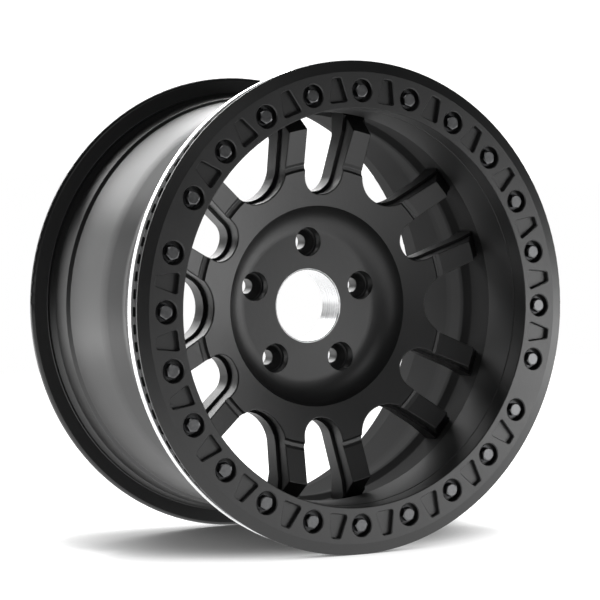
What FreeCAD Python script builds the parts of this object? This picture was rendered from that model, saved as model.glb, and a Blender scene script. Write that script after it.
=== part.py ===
import FreeCAD, Part
import math
import os
import Sketcher
from FreeCAD import Vector

# Beadlock wheel, 17 inch, in millimetres.
# The wheel turns about Y. The street side faces -Y, +Z is up, and the origin is the wheel's centre.
# Depths are measured from the front face of the clamp ring towards the back.

SIZES = [
    # Whole wheel
    ("overall_width", 256.0, "ring face to the back of the inboard flange"),
    ("mount_offset", 9.0, "mounting face behind the middle of the width"),
    # Clamp ring
    ("ring_thickness", 19.0, "ring face to the face that meets the wheel"),
    ("ring_bore_radius", 190.4, "open middle of the ring"),
    ("ring_face_radius", 225.2, "outer edge of the flat front face"),
    ("ring_outer_radius", 236.0, "outer edge of the ring"),
    ("ring_chamfer_depth", 2.8, "depth of the outer chamfer"),
    ("ring_edge_depth", 4.6, "ring face to the back of the ring's edge"),
    ("ring_lip_radius", 225.0, "where the lip behind the edge reaches its full thickness"),
    ("ring_lip_thickness", 11.5, "lip that presses on the tyre bead"),
    ("ring_land_radius", 217.0, "land behind the lip, under the tyre bead"),
    ("ring_edge_round", 1.0, "small rounding of the ring's edges"),
    # Ring bolts, washers and inserts
    ("bolt_count", 24, "bolts round the ring"),
    ("bolt_circle_radius", 207.5, "circle of the bolts"),
    ("bolt_diameter", 8.0, "shank"),
    ("bolt_length", 30.0, "under the head"),
    ("bolt_head_flats", 12.0, "across the flats"),
    ("bolt_head_height", 5.3, "head"),
    ("bolt_crown", 0.7, "turned crown on the head"),
    ("bolt_tip", 1.0, "chamfer at the end of the shank"),
    ("washer_diameter", 16.5, "washer"),
    ("washer_thickness", 1.6, "washer"),
    ("bolt_clearance", 0.6, "bolt hole over the shank, on the diameter"),
    ("counterbore_diameter", 21.4, "recess round the bolt head"),
    ("counterbore_depth", 7.5, "recess round the bolt head"),
    ("counterbore_chamfer", 0.9, "broken edge of the recess"),
    ("insert_diameter", 12.0, "steel thread insert"),
    ("insert_length", 18.0, "steel thread insert"),
    ("insert_setback", 0.3, "insert below the joint face"),
    ("fit_clearance", 0.1, "sliding fits, on the diameter"),
    ("thread_run_out", 3.0, "drilled hole past the bolt's end"),
    # Shallow pockets on the ring face
    ("pocket_inner_radius", 196.2, "inner end"),
    ("pocket_outer_radius", 220.8, "outer end"),
    ("pocket_inner_width", 21.4, "width at the inner end"),
    ("pocket_outer_width", 11.2, "width at the outer end"),
    ("pocket_round", 3.0, "corners"),
    ("pocket_depth", 4.4, "depth"),
    ("pocket_draft", 8.0, "slope of the walls"),
    ("pocket_chamfer", 0.6, "broken edge"),
    ("plain_pad_angle", 112.5, "first of the two plain pads, clockwise from the top"),
    # Outboard flange of the wheel
    ("flange_radius", 234.5, "machined flange behind the tyre bead"),
    ("flange_thickness", 8.5, "flange"),
    ("flange_break", 0.8, "front edge of the flange"),
    ("flange_back_round", 2.5, "back edge of the flange"),
    ("slot_count", 90, "grip slots in the flange face"),
    ("slot_circle_radius", 231.0, "grip slots"),
    ("slot_length", 9.5, "grip slot"),
    ("slot_width", 3.0, "grip slot"),
    ("slot_depth", 1.8, "grip slot"),
    # Barrel
    ("lip_radius", 190.0, "inside of the front lip"),
    ("lip_depth", 62.5, "ring face to the back edge of the lip"),
    ("lip_undercut_run", 3.5, "length of the undercut behind the lip"),
    ("block_radius", 217.0, "thick ring that holds the inserts"),
    ("block_fall", 2.0, "taper of the thick ring"),
    ("block_depth", 42.0, "ring face to the back of the thick ring"),
    ("shoulder_start", 58.0, "ring face to the shoulder ahead of the well"),
    ("shoulder_radius", 202.0, "outside of the shoulder"),
    ("well_radius", 197.0, "outside of the drop centre well"),
    ("shoulder_round", 6.5, "roundings of the shoulder and of the thick ring"),
    ("well_ramp", 11.0, "length of the ramp into the well"),
    ("well_ramp_lead", 2.75, "ramp starts this far ahead of the back of the spoke roots"),
    ("well_front_round", 3.25, "rounding at the front of the well"),
    ("well_back_round", 19.5, "rounding at the back of the well"),
    ("well_floor", 5.0, "length of the well's floor"),
    ("bend_depth", 146.0, "ring face to the bend of the barrel"),
    ("bend_radius_out", 204.0, "outside of the barrel at the bend"),
    ("bend_round", 104.0, "rounding of the bend"),
    ("barrel_back_radius", 210.2, "outside of the barrel ahead of the hump step"),
    ("barrel_wall", 6.5, "barrel wall, measured radially"),
    ("hump_step", 2.8, "step up to the hump"),
    ("hump_step_run", 4.0, "length of that step"),
    ("hump_land", 19.5, "length of the land behind the step"),
    ("hump_land_rise", 2.5, "rise of that land"),
    ("seat_ramp_rise", 3.5, "rise of the ramp to the bead seat"),
    ("seat_ramp_run", 8.0, "length of the ramp to the bead seat"),
    ("seat_run", 5.0, "bead seat"),
    ("inboard_flange_radius", 235.5, "inboard flange"),
    ("inboard_flange_thickness", 9.5, "inboard flange"),
    ("inboard_front_round", 4.0, "front edge of the inboard flange"),
    ("inboard_back_round", 5.0, "back edge of the inboard flange"),
    ("inboard_back_band", 9.5, "flat back face of the inboard flange"),
    ("inboard_throat_depth", 9.0, "depth of the cone inside the inboard flange"),
    ("valve_hole_diameter", 11.5, "hole for the valve stem"),
    ("valve_hole_depth", 78.0, "ring face to the valve hole, half way along the shoulder"),
    # Hub
    ("bore_diameter", 71.5, "hub bore"),
    ("bore_chamfer", 1.0, "both ends of the bore"),
    ("hub_thickness", 34.0, "mounting face to the face round the bore"),
    ("hub_pad_radius", 80.0, "mounting pad"),
    ("hub_draft", 6.0, "pad's side slopes out by this much"),
    ("lug_count", 5, "lug holes"),
    ("lug_circle_radius", 63.5, "lug holes"),
    ("lug_pocket_diameter", 29.0, "socket clearance round the lug nut"),
    ("lug_pocket_depth", 12.0, "socket clearance"),
    ("lug_seat_diameter", 24.0, "wide end of the cone seat"),
    ("lug_seat_angle", 60.0, "whole angle of the cone seat"),
    ("lug_hole_diameter", 15.0, "stud hole"),
    # Dish and spokes
    ("bowl_depth", 21.0, "crisp edge of the dish to the face round the bore"),
    ("bowl_lean", 72.0, "slope of the dish's wall at its edge"),
    ("bowl_round", 27.5, "rounding between that wall and the face round the bore"),
    ("deck_edge_radius", 99.0, "crisp edge of the dish"),
    ("deck_outer_radius", 135.0, "outer end of the deck"),
    ("deck_rise", 11.0, "deck rises towards the street side"),
    ("groove_width", 8.0, "groove between the deck and the spoke face"),
    ("groove_depth", 2.2, "groove below the end of the deck"),
    ("groove_chamfer", 0.7, "broken edge on the deck's side of the groove"),
    ("groove_inner_run", 1.6, "radial length of the groove's steep inner wall"),
    ("groove_outer_run", 2.6, "radial length of the groove's outer wall"),
    ("spoke_end_radius", 175.0, "outer end of the spoke face"),
    ("spoke_rise", 12.0, "spoke face rises towards the street side"),
    ("spoke_end_drop", 27.0, "drop from the spoke face to the barrel"),
    ("spoke_root_height", 15.5, "height of the spoke where it joins the barrel"),
    ("root_overlap", 3.0, "spoke root inside the barrel wall"),
    ("deck_thickness", 34.0, "deck, front to back, at the dish edge"),
    ("spoke_back_radius", 170.0, "bend at the back of the spoke"),
    ("spoke_thickness", 37.0, "spoke, front to back, at that bend"),
    ("edge_round", 1.2, "rounded edges of the dish and spokes"),
    # Windows between the spokes
    ("spoke_pairs", 6, "pairs of spokes"),
    ("spoke_middle_radius", 150.0, "where the width between the two spokes of a pair is measured"),
    ("narrow_window_width", 46.6, "window between the two spokes of a pair"),
    ("narrow_window_angle", 13.2, "whole angle between the sides of that window"),
    ("narrow_window_radius", 110.4, "inner end of that window"),
    ("wide_window_radius", 120.0, "inner end of the window between two pairs"),
    ("wide_window_angle", 51.4, "whole angle between the sides of that window"),
    ("wide_window_round", 32.6, "rounding of its inner end"),
    ("window_ledge", 2.8, "ledge half way down the window wall"),
    ("window_ledge_depth", 18.0, "deck or spoke face to the ledge"),
    ("window_reach", 6.0, "windows cut past the spoke roots"),
    ("window_edge_round", 1.0, "rounded street side edges of the windows"),
]


# Points closer than this, in millimetres, are the same point
SAME_POINT = 1e-6


class Size:
    """A number together with the sheet formula that gives it."""

    def __init__(self, value, formula):
        self.value = value
        self.formula = formula

    def join(self, sign, other, value):
        return Size(value, "(%s %s %s)" % (self.formula, sign, as_size(other).formula))

    def __add__(self, other):
        return self.join("+", other, self.value + as_size(other).value)

    def __sub__(self, other):
        return self.join("-", other, self.value - as_size(other).value)

    def __mul__(self, other):
        return self.join("*", other, self.value * as_size(other).value)

    def __truediv__(self, other):
        return self.join("/", other, self.value / as_size(other).value)

    def __neg__(self):
        return Size(-self.value, "(0 - %s)" % self.formula)

    def sin(self):
        return Size(math.sin(math.radians(self.value)), "sin(%s)" % self.formula)

    def tan(self):
        return Size(math.tan(math.radians(self.value)), "tan(%s)" % self.formula)


def as_size(number):
    return number if isinstance(number, Size) else Size(float(number), repr(number))


def bind(thing, path, size):
    thing.setExpression(path, as_size(size).formula)


doc = FreeCAD.newDocument("BeadlockWheel")
sheet = doc.addObject("Spreadsheet::Sheet", "Sizes")
size = {}
for row, (alias, number, meaning) in enumerate(SIZES, start=1):
    sheet.set("A%d" % row, meaning)
    sheet.set("B%d" % row, str(number))
    sheet.setAlias("B%d" % row, alias)
    size[alias] = Size(number, "Sizes." + alias)
doc.recompute()


def depth(distance):
    """Y of a point that lies this far behind the ring face."""
    return as_size(distance) - size["overall_width"] / 2


def origin_part(body, role):
    return next(part for part in body.Origin.OriginFeatures if part.Role == role)


def new_sketch(body, name, plane, lift=None, turn=None):
    """Sketch on an origin plane, lifted along its normal and turned clockwise as seen from the front."""
    sketch = body.newObject("Sketcher::SketchObject", name)
    sketch.AttachmentSupport = [(origin_part(body, plane), "")]
    sketch.MapMode = "FlatFace"
    if lift is not None:
        bind(sketch, "AttachmentOffset.Base.z", lift)
    if turn is not None:
        sketch.AttachmentOffset = FreeCAD.Placement(Vector(0, 0, 0), FreeCAD.Rotation(Vector(0, 0, 1), 1))
        bind(sketch, "AttachmentOffset.Rotation.Angle", -turn)
    return sketch


def constrain(sketch, rules):
    """Add constraints; a rule is (constraint,) or (constraint, size), where the size drives it."""
    indices = sketch.addConstraint([rule[0] for rule in rules])
    for index, rule in zip(indices, rules):
        if len(rule) > 1:
            bind(sketch, "Constraints[%d]" % index, rule[1])


def pinned(geometry, end, x, y):
    """Rules that fix a point of a sketch at x, y."""
    return [
        (Sketcher.Constraint("DistanceX", -1, 1, geometry, end, as_size(x).value), x),
        (Sketcher.Constraint("DistanceY", -1, 1, geometry, end, as_size(y).value), y),
    ]


def outline(sketch, corners):
    """Closed outline through corners (x, y) or (x, y, radius), where a radius rounds that corner."""
    points = [Vector(as_size(c[0]).value, as_size(c[1]).value, 0) for c in corners]
    count = len(points)
    arcs = {}
    starts = list(points)
    ends = list(points)
    for i, corner in enumerate(corners):
        if len(corner) < 3:
            continue
        radius = as_size(corner[2]).value
        back = (points[i - 1] - points[i]).normalize()
        ahead = (points[(i + 1) % count] - points[i]).normalize()
        half = back.getAngle(ahead) / 2
        ends[i] = points[i] + back * (radius / math.tan(half))
        starts[i] = points[i] + ahead * (radius / math.tan(half))
        centre = points[i] + (back + ahead).normalize() * (radius / math.sin(half))
        middle = centre + (points[i] - centre).normalize() * radius
        arcs[i] = sketch.addGeometry(Part.Arc(ends[i], middle, starts[i]))
    lines = [sketch.addGeometry(Part.LineSegment(starts[i], ends[(i + 1) % count])) for i in range(count)]
    rules = []
    for i, corner in enumerate(corners):
        before = lines[i - 1]
        after = lines[i]
        if i not in arcs:
            rules.append((Sketcher.Constraint("Coincident", before, 2, after, 1),))
            rules += pinned(after, 1, corner[0], corner[1])
            continue
        arc = arcs[i]
        first = 1 if sketch.getPoint(arc, 1).distanceToPoint(ends[i]) < SAME_POINT else 2
        mark = sketch.addGeometry(Part.Point(points[i]), True)
        rules.append((Sketcher.Constraint("Tangent", before, 2, arc, first),))
        rules.append((Sketcher.Constraint("Tangent", arc, 3 - first, after, 1),))
        rules.append((Sketcher.Constraint("PointOnObject", mark, 1, before),))
        rules.append((Sketcher.Constraint("PointOnObject", mark, 1, after),))
        rules.append((Sketcher.Constraint("Radius", arc, as_size(corner[2]).value), corner[2]))
        rules += pinned(mark, 1, corner[0], corner[1])
    constrain(sketch, rules)


def turning_axis(sketch, height):
    """Line parallel to the wheel's axis, at this height, for a profile to turn about."""
    level = as_size(height)
    reach = size["bolt_length"]
    line = Part.LineSegment(Vector(-reach.value, level.value, 0), Vector(reach.value, level.value, 0))
    axis = sketch.addGeometry(line, True)
    constrain(sketch, pinned(axis, 1, -reach, level) + pinned(axis, 2, reach, level))


def turned(body, name, corners, height=None, kind="Revolution"):
    """Turned solid from an outline in the YZ plane, about the wheel's axis or a line parallel to it."""
    sketch = new_sketch(body, name + "Profile", "YZ_Plane")
    outline(sketch, corners)
    if height is not None:
        turning_axis(sketch, height)
    feature = body.newObject("PartDesign::" + kind, name)
    feature.Profile = sketch
    feature.ReferenceAxis = (sketch, ["H_Axis" if height is None else "Axis0"])
    feature.Angle = 360
    return feature


def prism(body, name, corners, front, back, turn=None):
    """Straight solid along the wheel's axis, between two depths."""
    sketch = new_sketch(body, name + "Outline", "XZ_Plane", lift=-depth(back), turn=turn)
    outline(sketch, corners)
    feature = body.newObject("PartDesign::Pad", name)
    feature.Profile = sketch
    bind(feature, "Length", as_size(back) - front)
    return feature


def around(body, name, features, count, angle=None):
    """Copies of features spread round the wheel's axis."""
    doc.recompute()
    ring = body.newObject("PartDesign::PolarPattern", name)
    ring.Originals = features
    ring.Axis = (origin_part(body, "Y_Axis"), [""])
    ring.Angle = 360
    if angle is not None:
        bind(ring, "Angle", angle)
    bind(ring, "Occurrences", count)
    body.Tip = ring


def new_body(name):
    body = doc.addObject("PartDesign::Body", name)
    body.Label = name
    return body


def cut(name, base, tools):
    """The base with each of the tools' solids cut out of it; the tools lie clear of one another."""
    together = doc.addObject("Part::Compound", name + "Tools")
    together.Links = tools
    result = doc.addObject("Part::Cut", name)
    result.Base = base
    result.Tool = together
    result.Refine = False
    result.Label = name
    return result


# Share of a slot's half width that its rounded ends take
END_ROUNDNESS = 0.96

# A wall leans less than the first along the wheel's axis, and a face seen from the front more than the second
WALL_LEAN = 0.01
FACE_LEAN = 0.1

# Depths and radii that several pieces share
half_width = size["overall_width"] / 2
joint = size["ring_thickness"]
mount_face = half_width + size["mount_offset"]
pad_front = mount_face - size["hub_thickness"]
deck_edge = pad_front - size["bowl_depth"]
deck_end = deck_edge - size["deck_rise"]
groove_floor = deck_end + size["groove_depth"]
spoke_start_radius = size["deck_outer_radius"] + size["groove_width"]
spoke_end = deck_end - size["spoke_rise"]
root_front = spoke_end + size["spoke_end_drop"]
root_back = root_front + size["spoke_root_height"]
ledge_inside = deck_edge + size["window_ledge_depth"]
ledge_outside = spoke_end + size["window_ledge_depth"]
shoulder_inside = size["shoulder_radius"] - size["barrel_wall"]
root_radius = shoulder_inside + size["root_overlap"]
well_ramp_start = root_back - size["well_ramp_lead"]
well_ramp_end = well_ramp_start + size["well_ramp"]
well_middle = well_ramp_end + size["well_floor"] / 2
bolt_end = size["counterbore_depth"] - size["washer_thickness"] + size["bolt_length"]


def build_centre_blank():
    """Hub, dish, deck and the ring that the spokes are cut from, turned as one profile."""
    body = new_body("centre_blank")
    bore = size["bore_diameter"] / 2
    chamfer = size["bore_chamfer"]
    pad = size["hub_pad_radius"]
    edge = size["edge_round"]
    bowl_foot = size["deck_edge_radius"] - size["bowl_depth"] / size["bowl_lean"].tan()
    turned(body, "HubAndDeck", [
        (depth(pad_front + chamfer), bore),
        (depth(pad_front), bore + chamfer),
        (depth(pad_front), bowl_foot, size["bowl_round"]),
        (depth(deck_edge), size["deck_edge_radius"], edge / 2),
        (depth(deck_end), size["deck_outer_radius"]),
        (depth(deck_end), spoke_start_radius),
        (depth(spoke_end), size["spoke_end_radius"], edge),
        (depth(root_front), root_radius),
        (depth(root_back), root_radius),
        (depth(spoke_end + size["spoke_thickness"]), size["spoke_back_radius"]),
        (depth(deck_edge + size["deck_thickness"]), size["deck_edge_radius"]),
        (depth(deck_edge + size["deck_thickness"]), pad + size["hub_draft"], size["hub_draft"]),
        (depth(mount_face), pad, edge),
        (depth(mount_face), bore + chamfer),
        (depth(mount_face - chamfer), bore),
    ])
    return body


def narrow_window(inset):
    """Outline between the two spokes of a pair, which splay apart, made smaller by the inset."""
    flare = (size["narrow_window_angle"] / 2).tan()
    inner = size["narrow_window_radius"] + inset
    outer = root_radius + size["window_reach"]
    middle_half = size["narrow_window_width"] / 2 - inset
    inner_half = middle_half - (size["spoke_middle_radius"] - inner) * flare
    outer_half = middle_half + (outer - size["spoke_middle_radius"]) * flare
    rounding = inner_half * (size["narrow_window_angle"] / 4 + 45).tan() * END_ROUNDNESS
    return [
        (-inner_half, inner, rounding),
        (inner_half, inner, rounding),
        (outer_half, outer),
        (-outer_half, outer),
    ]


def wide_window(inset):
    """Outline between two pairs of spokes, made smaller by the inset."""
    half_angle = size["wide_window_angle"] / 2
    rounding = size["wide_window_round"] - inset
    apex = size["wide_window_radius"] + inset + rounding - rounding / half_angle.sin()
    outer = root_radius + size["window_reach"]
    half = (outer - apex) * half_angle.tan()
    return [(0, apex, rounding), (half, outer), (-half, outer)]


def window_cutters(name, inset, front, back):
    """All twelve windows as straight cutters between two depths."""
    body = new_body(name)
    turn = as_size(180) / size["spoke_pairs"]
    narrow = prism(body, name + "Narrow", narrow_window(inset), front, back)
    wide = prism(body, name + "Wide", wide_window(inset), front, back, turn=turn)
    around(body, name + "Ring", [narrow, wide], size["spoke_pairs"])
    return body


def lean(face):
    """How far a face looks along the wheel's axis: 0 for a wall along the axis, 1 for a face square to it."""
    u_start, u_end, v_start, v_end = face.ParameterRange
    return abs(face.normalAt((u_start + u_end) / 2, (v_start + v_end) / 2).y)


def above_ledge():
    """Turned space in front of the ledge, which follows the slope of the deck and the spokes."""
    body = new_body("above_ledge")
    front = spoke_end - size["window_reach"]
    outer = root_radius + size["window_reach"]
    turned(body, "AboveLedge", [
        (depth(front), size["deck_edge_radius"]),
        (depth(front), outer),
        (depth(ledge_outside), outer),
        (depth(ledge_outside), size["spoke_end_radius"]),
        (depth(ledge_inside), size["deck_edge_radius"]),
    ])
    return body


def ahead_of_ledge(vertex):
    """How far a point lies in front of the ledge."""
    inner = size["deck_edge_radius"].value
    share = (math.hypot(vertex.X, vertex.Z) - inner) / (size["spoke_end_radius"].value - inner)
    fall = ledge_outside.value - ledge_inside.value
    return depth(ledge_inside).value + fall * min(share, 1) - vertex.Y


def window_edges(shape):
    """Names of the street side edges, where a window's wall meets the deck or a spoke's face."""
    names = []
    for index, edge in enumerate(shape.Edges, start=1):
        reach = [math.hypot(vertex.X, vertex.Z) for vertex in edge.Vertexes]
        on_deck = min(reach) > size["deck_edge_radius"].value + size["edge_round"].value
        on_root = min(reach) > root_radius.value - size["root_overlap"].value / 2
        in_front = min(ahead_of_ledge(vertex) for vertex in edge.Vertexes) > size["edge_round"].value
        leans = sorted(lean(face) for face in shape.ancestorsOfType(edge, Part.Face))
        if on_deck and not on_root and in_front and leans[0] < WALL_LEAN and leans[-1] > FACE_LEAN:
            names.append("Edge%d" % index)
    return names


def groove_cutter():
    """Turned groove between the deck and the spokes, with a broken edge on the deck's side."""
    body = new_body("groove_cutter")
    inner = size["deck_outer_radius"]
    broken = size["groove_chamfer"]
    lift = size["groove_depth"]
    turned(body, "Groove", [
        (depth(deck_end + broken), inner),
        (depth(groove_floor), inner + size["groove_inner_run"], size["edge_round"]),
        (depth(groove_floor), spoke_start_radius - size["groove_outer_run"], size["edge_round"]),
        (depth(deck_end), spoke_start_radius),
        (depth(deck_end - lift), spoke_start_radius),
        (depth(deck_end - lift), inner - broken - lift),
    ])
    return body


def build_centre():
    """Windows go through at their small size, then open out down to a ledge from the street side."""
    front = spoke_end - size["window_reach"]
    back = mount_face + size["window_reach"]
    through = window_cutters("window_cutters", size["window_ledge"], front, back)
    opened = doc.addObject("Part::Common", "window_front_cutters")
    opened.Refine = False
    opened.Base = window_cutters("window_full_cutters", as_size(0), front, back)
    opened.Tool = above_ledge()
    pierced = cut("pierced_centre", build_centre_blank(), [through])
    spoked = cut("spoked_centre", pierced, [opened])
    rounded = new_body("rounded_centre")
    rounded.BaseFeature = spoked
    doc.recompute()
    edges = rounded.newObject("PartDesign::Fillet", "WindowEdges")
    base = rounded.Group[0]
    edges.Base = (base, window_edges(base.Shape))
    bind(edges, "Radius", size["window_edge_round"])
    rounded.Tip = edges
    return cut("grooved_centre", rounded, [groove_cutter()])


def lug_hole_cutters():
    """Socket clearance, cone seat and stud hole, turned about the stud's own axis."""
    body = new_body("lug_hole_cutters")
    axis = size["lug_circle_radius"]
    clearance = size["lug_pocket_diameter"] / 2
    seat = size["lug_seat_diameter"] / 2
    hole = size["lug_hole_diameter"] / 2
    floor = pad_front + size["lug_pocket_depth"]
    cone_end = floor + (seat - hole) / (size["lug_seat_angle"] / 2).tan()
    behind = mount_face + size["bore_chamfer"]
    lug = turned(body, "LugHole", [
        (depth(deck_edge), axis),
        (depth(deck_edge), axis + clearance),
        (depth(floor), axis + clearance, size["edge_round"]),
        (depth(floor), axis + seat),
        (depth(cone_end), axis + hole),
        (depth(behind), axis + hole),
        (depth(behind), axis),
    ], height=axis)
    around(body, "LugHoles", [lug], size["lug_count"])
    return body


def build_front_barrel():
    """Outboard flange, lip and shoulder, down to the middle of the drop centre well."""
    body = new_body("front_barrel")
    edge = size["edge_round"]
    soft = size["shoulder_round"]
    well_round = size["well_front_round"]
    flange_back = joint + size["flange_thickness"]
    turned(body, "FrontBarrel", [
        (depth(joint), size["lip_radius"], size["flange_break"]),
        (depth(joint), size["flange_radius"], size["flange_break"]),
        (depth(flange_back), size["flange_radius"], size["flange_back_round"]),
        (depth(flange_back), size["block_radius"] + size["block_fall"], size["flange_back_round"]),
        (depth(size["block_depth"]), size["block_radius"], soft),
        (depth(size["shoulder_start"]), size["shoulder_radius"], soft),
        (depth(well_ramp_start), size["shoulder_radius"], soft),
        (depth(well_ramp_end), size["well_radius"], well_round),
        (depth(well_middle), size["well_radius"]),
        (depth(well_middle), size["well_radius"] - size["barrel_wall"]),
        (depth(well_ramp_end), size["well_radius"] - size["barrel_wall"], well_round),
        (depth(root_back), shoulder_inside, well_round),
        (depth(size["lip_depth"] + size["lip_undercut_run"]), shoulder_inside, edge),
        (depth(size["lip_depth"]), size["lip_radius"], edge),
    ])
    return body


def build_rear_barrel():
    """From the middle of the well to the bead seat and the inboard flange."""
    body = new_body("rear_barrel")
    wall = size["barrel_wall"]
    edge = size["edge_round"]
    back = size["overall_width"]
    well_end = well_middle + size["well_floor"] / 2
    flange_wall = back - size["inboard_flange_thickness"]
    seat_start = flange_wall - size["seat_run"]
    land_end = seat_start - size["seat_ramp_run"]
    land_start = land_end - size["hump_land"]
    barrel_end = land_start - size["hump_step_run"]
    land_radius = size["barrel_back_radius"] + size["hump_step"]
    land_back_radius = land_radius + size["hump_land_rise"]
    seat_radius = land_back_radius + size["seat_ramp_rise"]
    throat_radius = size["inboard_flange_radius"] - size["inboard_back_band"]
    turned(body, "RearBarrel", [
        (depth(well_middle), size["well_radius"]),
        (depth(well_end), size["well_radius"], size["well_back_round"]),
        (depth(size["bend_depth"]), size["bend_radius_out"], size["bend_round"]),
        (depth(barrel_end), size["barrel_back_radius"], edge),
        (depth(land_start), land_radius, edge),
        (depth(land_end), land_back_radius, edge),
        (depth(seat_start), seat_radius, edge),
        (depth(flange_wall), seat_radius, edge),
        (depth(flange_wall), size["inboard_flange_radius"], size["inboard_front_round"]),
        (depth(back), size["inboard_flange_radius"], size["inboard_back_round"]),
        (depth(back), throat_radius, edge),
        (depth(back - size["inboard_throat_depth"]), seat_radius - wall, wall),
        (depth(barrel_end), size["barrel_back_radius"] - wall, wall),
        (depth(size["bend_depth"]), size["bend_radius_out"] - wall, size["bend_round"]),
        (depth(well_end), size["well_radius"] - wall, size["well_back_round"]),
        (depth(well_middle), size["well_radius"] - wall),
    ])
    return body


def insert_hole_cutters():
    """Seat of each thread insert and the drilled hole behind it."""
    body = new_body("insert_hole_cutters")
    axis = size["bolt_circle_radius"]
    seat = (size["insert_diameter"] + size["fit_clearance"]) / 2
    drill = (size["bolt_diameter"] + size["bolt_clearance"]) / 2
    floor = joint + size["insert_setback"] + size["insert_length"]
    bottom = bolt_end + size["thread_run_out"]
    hole = turned(body, "InsertHole", [
        (depth(joint - size["insert_setback"]), axis),
        (depth(joint - size["insert_setback"]), axis + seat),
        (depth(floor), axis + seat),
        (depth(floor), axis + drill),
        (depth(bottom), axis + drill),
        (depth(bottom + drill / 2), axis),
    ], height=axis)
    around(body, "InsertHoles", [hole], size["bolt_count"])
    return body


def grip_slot_cutters():
    """Row of short slots in the flange face, which grip the tyre bead."""
    body = new_body("grip_slot_cutters")
    middle = size["slot_circle_radius"]
    half = size["slot_width"] / 2
    reach = size["slot_length"] / 2
    rounding = half * END_ROUNDNESS
    slot = prism(body, "GripSlot", [
        (-reach, middle - half, rounding),
        (reach, middle - half, rounding),
        (reach, middle + half, rounding),
        (-reach, middle + half, rounding),
    ], joint - size["slot_depth"], joint + size["slot_depth"], turn=as_size(180) / size["slot_count"])
    around(body, "GripSlots", [slot], size["slot_count"])
    return body


def valve_hole_cutter():
    """Hole through the shoulder for the valve stem, square to the wheel's axis, at nine o'clock."""
    hole = doc.addObject("Part::Cylinder", "valve_hole_cutter")
    hole.Placement.Rotation = FreeCAD.Rotation(Vector(0, 0, 1), Vector(-1, 0, 0))
    bind(hole, "Radius", size["valve_hole_diameter"] / 2)
    bind(hole, "Height", size["block_radius"] - size["spoke_end_radius"])
    bind(hole, "Placement.Base.x", -size["spoke_end_radius"])
    bind(hole, "Placement.Base.y", depth(size["valve_hole_depth"]))
    return hole


def build_wheel():
    """One casting: the spoked centre and the barrel, then every hole and slot."""
    casting = doc.addObject("Part::MultiFuse", "casting")
    casting.Refine = False
    casting.Shapes = [build_centre(), build_front_barrel(), build_rear_barrel()]
    cutters = [lug_hole_cutters(), insert_hole_cutters(), grip_slot_cutters(), valve_hole_cutter()]
    return cut("wheel_body", casting, cutters)


def bolt_hole_cutters():
    """Counterbore with a broken edge, and the bolt hole below it."""
    body = new_body("bolt_hole_cutters")
    axis = size["bolt_circle_radius"]
    hole = (size["bolt_diameter"] + size["bolt_clearance"]) / 2
    recess = size["counterbore_diameter"] / 2
    chamfer = size["counterbore_chamfer"]
    above = size["washer_thickness"]
    bolt_hole = turned(body, "BoltHole", [
        (depth(-above), axis),
        (depth(-above), axis + recess + chamfer + above),
        (depth(chamfer), axis + recess),
        (depth(size["counterbore_depth"]), axis + recess),
        (depth(size["counterbore_depth"]), axis + hole),
        (depth(joint + above), axis + hole),
        (depth(joint + above), axis),
    ], height=axis)
    around(body, "BoltHoles", [bolt_hole], size["bolt_count"])
    return body


def ring_pocket(inset):
    """Outline of a pocket on the ring face, made smaller by the inset."""
    inner = size["pocket_inner_width"] / 2 - inset
    outer = size["pocket_outer_width"] / 2 - inset
    rounding = size["pocket_round"] - inset
    return [
        (-inner, size["pocket_inner_radius"] + inset, rounding),
        (inner, size["pocket_inner_radius"] + inset, rounding),
        (outer, size["pocket_outer_radius"] - inset, rounding),
        (-outer, size["pocket_outer_radius"] - inset, rounding),
    ]


def ring_pocket_cutters(name, start):
    """A run of shallow pockets between the bolts, which ends one bolt short of the opposite plain pad."""
    body = new_body(name)
    turn = start + as_size(360) / size["bolt_count"]
    chamfer = size["pocket_chamfer"]
    inset = size["pocket_depth"] * size["pocket_draft"].tan()
    well = prism(body, name + "Well", ring_pocket(inset + chamfer), 0, size["pocket_depth"], turn=turn)
    bind(well, "TaperAngle", size["pocket_draft"])
    rim = prism(body, name + "Rim", ring_pocket(chamfer), -chamfer, chamfer, turn=turn)
    rim.TaperAngle = 45
    pitch = as_size(360) / size["bolt_count"]
    copies = size["bolt_count"] / 2 - 1
    around(body, name + "Run", [well, rim], copies, angle=pitch * (copies - 1))
    return body


def build_ring():
    """Clamp ring: flat face, chamfered edge, and the lip that presses on the tyre bead."""
    body = new_body("ring_blank")
    edge = size["ring_edge_round"]
    turned(body, "RingSection", [
        (depth(0), size["ring_bore_radius"], edge),
        (depth(0), size["ring_face_radius"], edge),
        (depth(size["ring_chamfer_depth"]), size["ring_outer_radius"], edge / 2),
        (depth(size["ring_edge_depth"]), size["ring_outer_radius"], edge / 2),
        (depth(size["ring_lip_thickness"]), size["ring_lip_radius"], edge),
        (depth(size["ring_lip_thickness"]), size["ring_land_radius"], edge),
        (depth(joint), size["ring_land_radius"], edge),
        (depth(joint), size["ring_bore_radius"], edge / 2),
    ])
    pad = size["plain_pad_angle"]
    right = ring_pocket_cutters("right_pocket_cutters", pad)
    left = ring_pocket_cutters("left_pocket_cutters", pad + 180)
    return cut("beadlock_ring", body, [bolt_hole_cutters(), right, left])


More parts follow.
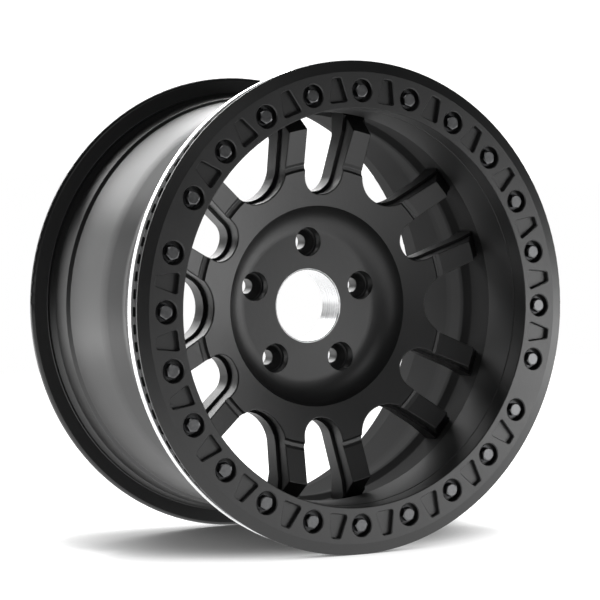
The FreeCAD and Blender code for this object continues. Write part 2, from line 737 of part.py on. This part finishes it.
def build_bolts():
    """Hex head bolts: a turned shank, a hex head and a turned crown on the head."""
    body = new_body("ring_bolts")
    axis = size["bolt_circle_radius"]
    radius = size["bolt_diameter"] / 2
    under_head = size["counterbore_depth"] - size["washer_thickness"]
    head_top = under_head - size["bolt_head_height"]
    crown_depth = head_top + size["bolt_crown"]
    shank = turned(body, "Shank", [
        (depth(crown_depth), axis),
        (depth(crown_depth), axis + radius),
        (depth(bolt_end - size["bolt_tip"]), axis + radius),
        (depth(bolt_end), axis + radius - size["bolt_tip"]),
        (depth(bolt_end), axis),
    ], height=axis)
    flat = size["bolt_head_flats"] / 2
    point = flat / as_size(60).sin()
    head = prism(body, "Head", [
        (point, axis),
        (point / 2, axis + flat),
        (-point / 2, axis + flat),
        (-point, axis),
        (-point / 2, axis - flat),
        (point / 2, axis - flat),
    ], head_top, under_head)
    reach = (point - flat) * 2 + size["bolt_crown"] * 2
    crown = turned(body, "Crown", [
        (depth(head_top), axis + flat - size["bolt_crown"]),
        (depth(head_top + reach / 2), axis + flat - size["bolt_crown"] + reach),
        (depth(head_top), axis + flat - size["bolt_crown"] + reach),
    ], height=axis, kind="Groove")
    around(body, "Bolts", [shank, head, crown], size["bolt_count"])
    return body


def build_sleeves(name, outer, front, back):
    """Plain round sleeves on the bolts: washers and inserts."""
    body = new_body(name)
    axis = size["bolt_circle_radius"]
    inner = (size["bolt_diameter"] + size["fit_clearance"]) / 2
    sleeve = turned(body, name + "First", [
        (depth(front), axis + inner),
        (depth(front), axis + outer),
        (depth(back), axis + outer),
        (depth(back), axis + inner),
    ], height=axis)
    around(body, name + "Ring", [sleeve], size["bolt_count"])
    return body


def build_washers():
    floor = size["counterbore_depth"]
    front = floor - size["washer_thickness"]
    return build_sleeves("ring_bolt_washers", size["washer_diameter"] / 2, front, floor)


def build_inserts():
    front = joint + size["insert_setback"]
    return build_sleeves("thread_inserts", size["insert_diameter"] / 2, front, front + size["insert_length"])


pieces = [build_wheel(), build_ring(), build_bolts(), build_washers(), build_inserts()]
doc.recompute()

for thing in doc.Objects:
    if "Invalid" in thing.State or "Error" in thing.State:
        raise RuntimeError("%s could not be built" % thing.Name)
for piece in pieces:
    if piece.Shape.isNull() or not piece.Shape.isValid():
        raise RuntimeError("%s is not a sound solid" % piece.Label)

os.makedirs("parts", exist_ok=True)
for piece in pieces:
    piece.Shape.exportStep("parts/%s.step" % piece.Label)
    print(piece.Label, len(piece.Shape.Solids), "solids, %.0f mm3" % piece.Shape.Volume)
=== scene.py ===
import math
import bmesh
import bpy
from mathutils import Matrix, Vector


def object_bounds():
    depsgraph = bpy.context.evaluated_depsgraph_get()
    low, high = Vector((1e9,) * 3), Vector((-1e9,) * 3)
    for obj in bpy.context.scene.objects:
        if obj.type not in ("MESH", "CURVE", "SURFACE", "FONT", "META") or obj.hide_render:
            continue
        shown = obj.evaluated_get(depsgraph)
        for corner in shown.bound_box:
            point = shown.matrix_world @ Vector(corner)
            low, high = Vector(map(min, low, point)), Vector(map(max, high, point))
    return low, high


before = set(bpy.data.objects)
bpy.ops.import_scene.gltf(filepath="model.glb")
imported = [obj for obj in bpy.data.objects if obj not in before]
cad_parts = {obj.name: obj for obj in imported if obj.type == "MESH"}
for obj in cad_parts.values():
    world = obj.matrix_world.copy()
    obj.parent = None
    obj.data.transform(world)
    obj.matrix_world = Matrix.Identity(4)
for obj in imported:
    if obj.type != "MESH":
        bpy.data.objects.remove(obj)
cad_low, cad_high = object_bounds()


# The wheel is one aluminium casting: barrel, spokes, hub and the flange that the tyre bead lies against. It
# is coated black all over, smoothest outside the barrel and matt inside it. The flange's face and edge and
# the hub bore are then turned bright, which leaves the flange's grip slots black.
wheel_black = (0.0034, 0.0035, 0.0037, 1.0)
wheel_black_light = (0.0056, 0.0057, 0.0060, 1.0)
flange_aluminium = (0.92, 0.925, 0.93, 1.0)
# The bore gets a darker copy of the flange's turned aluminium: painted shade for the bore, deep in the hub.
shaded_bore_aluminium = (0.62, 0.625, 0.63, 1.0)
bare_metal_share = 0.7
flange_root_radius = 0.2168
flange_slot_radius = 0.2334
flange_front = -0.1090
flange_front_margin = 0.0005
flange_back = -0.1015
slot_floor = -0.1087
bore_edge_radius = 0.0370
hub_front = -0.0256
hub_back = 0.0096
barrel_start_radius = 0.1865
inward_limit = -0.06
lip_back = -0.0610
wheel_cloud_scale = 22.0
turning_scale = 2600.0
spoke_roughness = 0.42
barrel_roughness = 0.38
barrel_inside_roughness = 0.92
lip_roughness = 0.72
cloud_roughness = 0.06
bare_roughness_low = 0.14
turning_roughness = 0.24
spoke_relief = 0.16
barrel_relief = 0.05
bare_relief = 0.03
coat_ior = 1.6
coat_grain_scale = 1500.0
coat_peel_scale = 260.0
coat_peel_share = 1.5
coat_relief_depth = 0.0002


def new_finish(name):
    finish = bpy.data.materials.new(name)
    finish.use_nodes = True
    return finish, finish.node_tree, finish.node_tree.nodes["Principled BSDF"]


def join(tree, source, target):
    """Link an output to a socket, or write a number or a colour on it."""
    if isinstance(source, (int, float, tuple)):
        target.default_value = source
    else:
        tree.links.new(source, target)


def reckon(tree, operation, first, second):
    step = tree.nodes.new("ShaderNodeMath")
    step.operation = operation
    join(tree, first, step.inputs[0])
    join(tree, second, step.inputs[1])
    return step.outputs[0]


def within(tree, value, low, high):
    above = reckon(tree, "GREATER_THAN", value, low)
    below = reckon(tree, "LESS_THAN", value, high)
    return reckon(tree, "MULTIPLY", above, below)


def mixed(tree, share, first, second, kind="FLOAT"):
    mix = tree.nodes.new("ShaderNodeMix")
    mix.data_type = kind
    first_slot, second_slot, result_slot = {"FLOAT": (2, 3, 0), "RGBA": (6, 7, 2)}[kind]
    join(tree, share, mix.inputs[0])
    join(tree, first, mix.inputs[first_slot])
    join(tree, second, mix.inputs[second_slot])
    return mix.outputs[result_slot]


def with_pattern(tree, value, share, pattern):
    """A value with a share of a pattern added to it."""
    return reckon(tree, "ADD", value, reckon(tree, "MULTIPLY", pattern, share))


def speckle(tree, position, scale, detail=2.0):
    noise = tree.nodes.new("ShaderNodeTexNoise")
    noise.inputs["Scale"].default_value = scale
    noise.inputs["Detail"].default_value = detail
    tree.links.new(position, noise.inputs["Vector"])
    return noise.outputs["Fac"]


def object_position(tree):
    """Object position, and the same split into X, Y and Z."""
    place = tree.nodes.new("ShaderNodeTexCoord").outputs["Object"]
    apart = tree.nodes.new("ShaderNodeSeparateXYZ")
    tree.links.new(place, apart.inputs[0])
    return place, apart.outputs


def axis_distance(tree, apart):
    """Distance from the wheel's axis."""
    flat = tree.nodes.new("ShaderNodeCombineXYZ")
    tree.links.new(apart["X"], flat.inputs["X"])
    tree.links.new(apart["Z"], flat.inputs["Z"])
    reach = tree.nodes.new("ShaderNodeVectorMath")
    reach.operation = "LENGTH"
    tree.links.new(flat.outputs[0], reach.inputs[0])
    return reach.outputs["Value"]


def coat_relief(tree, shader, place, strength):
    """Fine grain of a powder coat over its slow orange peel."""
    grain = speckle(tree, place, coat_grain_scale, detail=1.0)
    peel = speckle(tree, place, coat_peel_scale, detail=0.0)
    bump = tree.nodes.new("ShaderNodeBump")
    join(tree, strength, bump.inputs["Strength"])
    bump.inputs["Distance"].default_value = coat_relief_depth
    tree.links.new(with_pattern(tree, grain, coat_peel_share, peel), bump.inputs["Height"])
    tree.links.new(bump.outputs["Normal"], shader.inputs["Normal"])


def dress(node, finish):
    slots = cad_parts[node].data.materials
    slots.clear()
    slots.append(finish)


wheel_coat, tree, shader = new_finish("wheel_coat")
place, apart = object_position(tree)
reach = axis_distance(tree, apart)
along = apart["Y"]
on_flange = reckon(tree, "MULTIPLY", reckon(tree, "GREATER_THAN", reach, flange_root_radius),
                   within(tree, along, flange_front - flange_front_margin, flange_back))
in_slot = reckon(tree, "MULTIPLY", reckon(tree, "LESS_THAN", reach, flange_slot_radius),
                 reckon(tree, "GREATER_THAN", along, slot_floor))
turned_flange = reckon(tree, "MULTIPLY", on_flange, reckon(tree, "SUBTRACT", 1.0, in_slot))
turned_bore = reckon(tree, "MULTIPLY", reckon(tree, "LESS_THAN", reach, bore_edge_radius),
                     within(tree, along, hub_front, hub_back))
bare = reckon(tree, "MAXIMUM", turned_flange, turned_bore)
cloud = speckle(tree, place, wheel_cloud_scale)
coat_colour = mixed(tree, cloud, wheel_black, wheel_black_light, "RGBA")
# Bare metal takes the flange's aluminium, and in the bore the darker copy, which is painted shade.
bare_colour_and_bore_shade = mixed(tree, turned_bore, flange_aluminium, shaded_bore_aluminium, "RGBA")
join(tree, mixed(tree, bare, coat_colour, bare_colour_and_bore_shade, "RGBA"), shader.inputs["Base Color"])
join(tree, reckon(tree, "MULTIPLY", bare, bare_metal_share), shader.inputs["Metallic"])
on_barrel = reckon(tree, "GREATER_THAN", reach, barrel_start_radius)
facing = tree.nodes.new("ShaderNodeVectorMath")
facing.operation = "DOT_PRODUCT"
tree.links.new(tree.nodes.new("ShaderNodeNewGeometry").outputs["True Normal"], facing.inputs[0])
tree.links.new(place, facing.inputs[1])
inward = reckon(tree, "LESS_THAN", facing.outputs["Value"], inward_limit)
in_barrel = reckon(tree, "MULTIPLY", on_barrel, inward)
on_lip = reckon(tree, "LESS_THAN", along, lip_back)
outer_roughness = mixed(tree, on_barrel, spoke_roughness, barrel_roughness)
inner_roughness = mixed(tree, on_lip, barrel_inside_roughness, lip_roughness)
satin = mixed(tree, in_barrel, outer_roughness, inner_roughness)
coat_roughness = with_pattern(tree, satin, cloud_roughness, cloud)
turning = tree.nodes.new("ShaderNodeCombineXYZ")
tree.links.new(reach, turning.inputs["X"])
tree.links.new(along, turning.inputs["Y"])
turning_lines = speckle(tree, turning.outputs[0], turning_scale, detail=1.0)
bare_roughness = with_pattern(tree, bare_roughness_low, turning_roughness, turning_lines)
join(tree, mixed(tree, bare, coat_roughness, bare_roughness), shader.inputs["Roughness"])
shader.inputs["IOR"].default_value = coat_ior
coated_relief = mixed(tree, on_barrel, spoke_relief, barrel_relief)
coat_relief(tree, shader, place, mixed(tree, bare, coated_relief, bare_relief))
dress("wheel_body", wheel_coat)


# The clamp ring is turned from aluminium and coated black like the wheel, duller in its bore. It holds the
# tyre's outer bead against the flange, and is drilled and counterbored for its bolts, with shallow pockets
# between them.
ring_black = (0.0032, 0.0033, 0.0035, 1.0)
ring_black_light = (0.0054, 0.0055, 0.0058, 1.0)
ring_bore_edge = 0.1912
ring_cloud_scale = 26.0
ring_face_roughness = 0.38
ring_bore_roughness = 0.72
ring_relief = 0.12
ring_coat, tree, shader = new_finish("ring_coat")
place, apart = object_position(tree)
cloud = speckle(tree, place, ring_cloud_scale)
join(tree, mixed(tree, cloud, ring_black, ring_black_light, "RGBA"), shader.inputs["Base Color"])
in_bore = reckon(tree, "LESS_THAN", axis_distance(tree, apart), ring_bore_edge)
satin = mixed(tree, in_bore, ring_face_roughness, ring_bore_roughness)
join(tree, with_pattern(tree, satin, cloud_roughness, cloud), shader.inputs["Roughness"])
shader.inputs["IOR"].default_value = coat_ior
coat_relief(tree, shader, place, ring_relief)
dress("beadlock_ring", ring_coat)


# The bolts are hex head steel bolts with dark zinc plating, so the heads are a little lighter than the ring.
# They show faint rubbed patches where a socket has gripped them.
bolt_dark = (0.070, 0.071, 0.073, 1.0)
bolt_rubbed = (0.15, 0.151, 0.154, 1.0)
bolt_patch_scale = 420.0
bolt_roughness_low = 0.26
bolt_patch_roughness = 0.22


def patchy_steel(name, dark, light, scale, detail, roughness_low, patch_roughness):
    """Steel whose patches are lighter and rougher."""
    finish, tree, shader = new_finish(name)
    place = tree.nodes.new("ShaderNodeTexCoord").outputs["Object"]
    patches = speckle(tree, place, scale, detail)
    join(tree, mixed(tree, patches, dark, light, "RGBA"), shader.inputs["Base Color"])
    shader.inputs["Metallic"].default_value = 1.0
    join(tree, with_pattern(tree, roughness_low, patch_roughness, patches), shader.inputs["Roughness"])
    return finish


bolt_steel = patchy_steel("bolt_steel", bolt_dark, bolt_rubbed, bolt_patch_scale, detail=3.0,
                          roughness_low=bolt_roughness_low, patch_roughness=bolt_patch_roughness)
dress("ring_bolts", bolt_steel)


# The washers are stamped steel with the same dark plating as the bolts, and duller. Each lies in a
# counterbore of the ring, under a bolt head.
washer_dark = (0.035, 0.0355, 0.037, 1.0)
washer_worn = (0.070, 0.0705, 0.073, 1.0)
washer_patch_scale = 380.0
washer_roughness_low = 0.34
washer_patch_roughness = 0.2
washer_steel = patchy_steel("washer_steel", washer_dark, washer_worn, washer_patch_scale, detail=3.0,
                            roughness_low=washer_roughness_low, patch_roughness=washer_patch_roughness)
dress("ring_bolt_washers", washer_steel)


# The thread inserts are plain steel sleeves, fixed in the casting, that the bolts screw into. The ring covers
# them, so no outside view shows them.
insert_grey = (0.42, 0.42, 0.43, 1.0)
insert_bright = (0.56, 0.56, 0.57, 1.0)
insert_patch_scale = 900.0
insert_roughness_low = 0.28
insert_patch_roughness = 0.2
insert_steel = patchy_steel("insert_steel", insert_grey, insert_bright, insert_patch_scale, detail=2.0,
                            roughness_low=insert_roughness_low, patch_roughness=insert_patch_roughness)
dress("thread_inserts", insert_steel)


# The wheel stands on a white paper floor that reaches from behind it to a little in front. The paper keeps
# the wheel's soft shadow, which is faint at the ring and deep towards the back.
white = (1.0, 1.0, 1.0, 1.0)
white_strength = 1.0
paper_grey = (0.55, 0.55, 0.55, 1.0)
paper_left, paper_right = -1.6, 4.0
paper_front, paper_back = -0.85, 2.6
shade_reach = 0.13
shade_start, shade_full = -0.11, 0.06
faint_shade, deep_shade = 0.6, 5.0


def flat_sheet(name, corners):
    sheet = bpy.data.objects.new(name, bpy.data.meshes.new(name))
    outline = bmesh.new()
    outline.faces.new([outline.verts.new(corner) for corner in corners])
    outline.to_mesh(sheet.data)
    outline.free()
    bpy.context.scene.collection.objects.link(sheet)
    return sheet


def studio_white(name):
    """A matt grey paint, ready to glow white."""
    finish, tree, shader = new_finish(name)
    shader.inputs["Base Color"].default_value = paper_grey
    shader.inputs["Specular IOR Level"].default_value = 0.0
    shader.inputs["Emission Color"].default_value = white
    return finish, tree, shader


def seen_rays(tree):
    """One for what the camera sees, straight or in metal and glass, and nothing for other light."""
    path = tree.nodes.new("ShaderNodeLightPath")
    mirrored = reckon(tree, "MAXIMUM", path.outputs["Is Glossy Ray"], path.outputs["Is Transmission Ray"])
    return reckon(tree, "MAXIMUM", path.outputs["Is Camera Ray"], mirrored)


paper = flat_sheet("floor", [(paper_left, paper_front, cad_low.z), (paper_right, paper_front, cad_low.z),
                             (paper_right, paper_back, cad_low.z), (paper_left, paper_back, cad_low.z)])
paper_white, tree, shader = studio_white("paper_white")
shader.inputs["Roughness"].default_value = 1.0
shade = tree.nodes.new("ShaderNodeAmbientOcclusion")
shade.inputs["Distance"].default_value = shade_reach
along = object_position(tree)[1]["Y"]
depth = tree.nodes.new("ShaderNodeMapRange")
depth.interpolation_type = "SMOOTHSTEP"
for slot, value in enumerate((along, shade_start, shade_full, faint_shade, deep_shade)):
    join(tree, value, depth.inputs[slot])
shadow = reckon(tree, "POWER", shade.outputs["AO"], depth.outputs[0])
straight = tree.nodes.new("ShaderNodeLightPath").outputs["Is Camera Ray"]
paper_glow = reckon(tree, "MULTIPLY", seen_rays(tree), mixed(tree, straight, white_strength, shadow))
join(tree, paper_glow, shader.inputs["Emission Strength"])
paper.data.materials.append(paper_white)


# A white backdrop stands far behind the wheel, on the right where the camera looks. The rest of the room is
# dim, so the coat stays black where it mirrors the room.
backdrop_distance = 4.0
backdrop_left, backdrop_right = 0.6, 5.0
backdrop_lift = 0.5
backdrop_low = cad_low.z + backdrop_lift
backdrop_high = 6.0
room_dimness = 0.025
room_fill = 0.55
backdrop = flat_sheet("backdrop", [(backdrop_left, backdrop_distance, backdrop_low),
                                   (backdrop_right, backdrop_distance, backdrop_low),
                                   (backdrop_right, backdrop_distance, backdrop_high),
                                   (backdrop_left, backdrop_distance, backdrop_high)])
backdrop_paint, tree, shader = studio_white("backdrop_paint")
join(tree, seen_rays(tree), shader.inputs["Emission Strength"])
backdrop.data.materials.append(backdrop_paint)
room = bpy.data.worlds.new("room")
bpy.context.scene.world = room
room.use_nodes = True
tree = room.node_tree
path = tree.nodes.new("ShaderNodeLightPath")
glance = mixed(tree, path.outputs["Is Glossy Ray"], room_fill, room_dimness)
room_glow = mixed(tree, path.outputs["Is Camera Ray"], glance, white_strength)
join(tree, room_glow, tree.nodes["Background"].inputs["Strength"])
tree.nodes["Background"].inputs["Color"].default_value = white


# Five softboxes: a low one at the front right that the dish and the ring mirror, one close behind at the left
# along the outside of the barrel, a wide one high behind for the streak on the barrel's shoulder, and two
# small ones for the edges, at the front left and high in front.
def softbox(name, place, aim, width, height, brightness):
    lamp = bpy.data.lights.new(name, "AREA")
    lamp.shape = "RECTANGLE"
    lamp.size = width
    lamp.size_y = height
    lamp.energy = brightness * math.pi * width * height
    stand = bpy.data.objects.new(name, lamp)
    stand.location = place
    stand.rotation_euler = (Vector(aim) - Vector(place)).to_track_quat("-Z", "Y").to_euler()
    bpy.context.scene.collection.objects.link(stand)


softbox("right_softbox", place=(1.08, -0.92, -0.11), aim=(0.0, -0.1, -0.05),
        width=1.15, height=0.24, brightness=8.6)
softbox("back_softbox", place=(-0.62, 0.62, 0.0), aim=(-0.2, 0.0, 0.0),
        width=0.4, height=0.7, brightness=2.8)
softbox("high_softbox", place=(-0.05, 1.04, 0.72), aim=(-0.1, 0.0, 0.15),
        width=1.4, height=0.45, brightness=8.0)
softbox("left_softbox", place=(-1.36, -0.85, 0.1), aim=(0.0, 0.0, 0.0),
        width=0.35, height=0.5, brightness=2.2)
softbox("top_softbox", place=(-0.30, -1.25, 1.0), aim=(0.0, 0.0, 0.0),
        width=0.5, height=0.35, brightness=4.5)


# The camera stands where the photograph was taken from: a long lens, about 30 degrees to the left of the
# wheel's axis and a little above the hub.
camera_place = (-1.0638, -1.8670, 0.0657)
camera_direction = (0.49657, 0.86755, -0.02829)
camera = bpy.data.cameras.new("camera")
camera.lens = 128.29
camera.sensor_width = 36.0
camera.clip_end = 60.0
viewer = bpy.data.objects.new("camera", camera)
viewer.location = camera_place
viewer.rotation_euler = Vector(camera_direction).to_track_quat("-Z", "Y").to_euler()
bpy.context.scene.collection.objects.link(viewer)
bpy.context.scene.camera = viewer
bpy.context.scene.view_settings.view_transform = "Standard"
